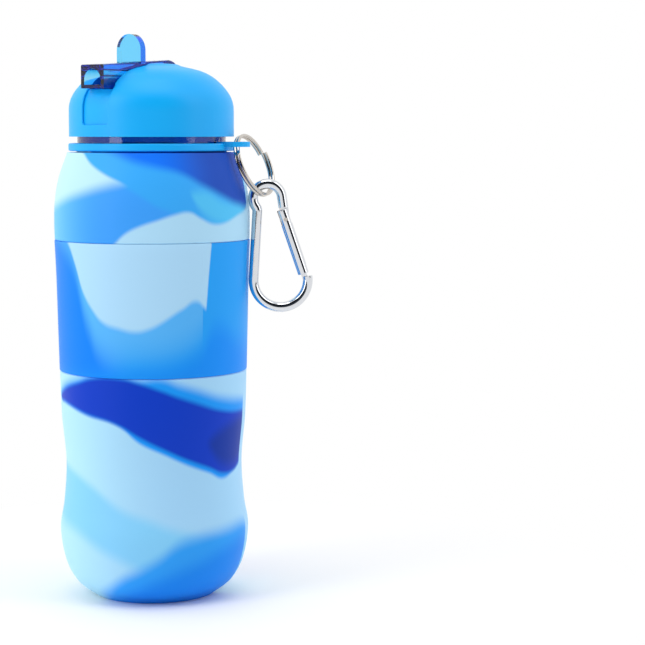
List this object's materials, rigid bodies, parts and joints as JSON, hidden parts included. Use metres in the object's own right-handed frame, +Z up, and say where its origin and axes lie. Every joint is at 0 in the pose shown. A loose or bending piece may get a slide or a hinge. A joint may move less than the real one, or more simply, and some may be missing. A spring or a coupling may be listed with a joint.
{
  "type": "folding silicone water bottle",
  "caption": "Roll-up silicone water bottle with a screw cap, flip spout, lug collar, split ring and snap hook.",
  "frame": {"origin": "centre of the flat base disc", "axes": "+Z up along the bottle, -Y the way the spout points, the lug 22 degrees from +X towards +Y"},
  "size_m": [0.0913, 0.0778, 0.2229],
  "materials": {
    "marbled_silicone": "satin moulded silicone marbled in three blues",
    "band_silicone": "satin moulded silicone, azure with a pale swirl",
    "cap_plastic": "satin azure polypropylene",
    "liner_plastic": "plain pale polypropylene",
    "clear_blue_plastic": "clear dark-blue polycarbonate",
    "seal_silicone": "soft translucent silicone",
    "ring_steel": "nickel-plated steel",
    "polished_wire": "polished bare metal",
    "spring_steel": "drawn spring steel"
  },
  "bodies": {
    "bottle": {"silicone_body": "marbled_silicone", "grip_band": "band_silicone"},
    "neck": {"neck_insert": "clear_blue_plastic", "collar": "cap_plastic"},
    "cap_lift": {"cap_gasket": "seal_silicone"},
    "cap": {"cap_shell": "cap_plastic", "cap_liner": "liner_plastic", "spout_seal": "seal_silicone"},
    "spout": {"spout": "clear_blue_plastic"},
    "ring": {"split_ring": "ring_steel"},
    "carabiner": {"carabiner_hook": "polished_wire", "gate_rivet": "ring_steel"},
    "gate": {"carabiner_gate": "polished_wire", "gate_spring": "spring_steel", "gate_plunger": "spring_steel"}
  },
  "joints": [
    {"name": "body_collapse", "type": "slide", "parent": "bottle", "child": "neck", "axis": [0, 0, 1], "range_m": [-0.11, 0], "stiffness_N_per_m": 40, "springref_m": 0.06, "deforming": ["silicone_body", "grip_band"]},
    {"name": "cap_lift", "type": "slide", "parent": "neck", "child": "cap_lift", "axis": [0, 0, 1], "range_m": [0, 0.0181]},
    {"name": "cap_turn", "type": "hinge", "parent": "cap_lift", "child": "cap", "pos_m": [0, 0, 0.183], "axis": [0, 0, 1], "range_deg": [0, 1296]},
    {"name": "spout_flip", "type": "hinge", "parent": "cap", "child": "spout", "pos_m": [0, 0.004, 0.2063], "axis": [-1, 0, 0], "range_deg": [0, 90]},
    {"name": "ring_swing", "type": "hinge", "parent": "neck", "child": "ring", "pos_m": [0.0331, 0.01337, 0.1826], "axis": [0.3746, -0.9272, 0], "range_deg": [0, 14]},
    {"name": "hook_swing", "type": "hinge", "parent": "ring", "child": "carabiner", "pos_m": [0.03825, 0.02385, 0.16003], "axis": [0.2605, -0.9655, 0], "range_deg": [0, 40]},
    {"name": "gate_open", "type": "hinge", "parent": "carabiner", "child": "gate", "pos_m": [0.04405, 0.02965, 0.15034], "axis": [-0.7071, 0.7071, 0], "range_deg": [0, 28], "stiffness_Nm_per_rad": 0.02, "springref_deg": -28.65}
  ],
  "couplings": [
    {"joint": "cap_lift", "follows": "cap_turn", "m_per_rad": 0.00079577}
  ]
}
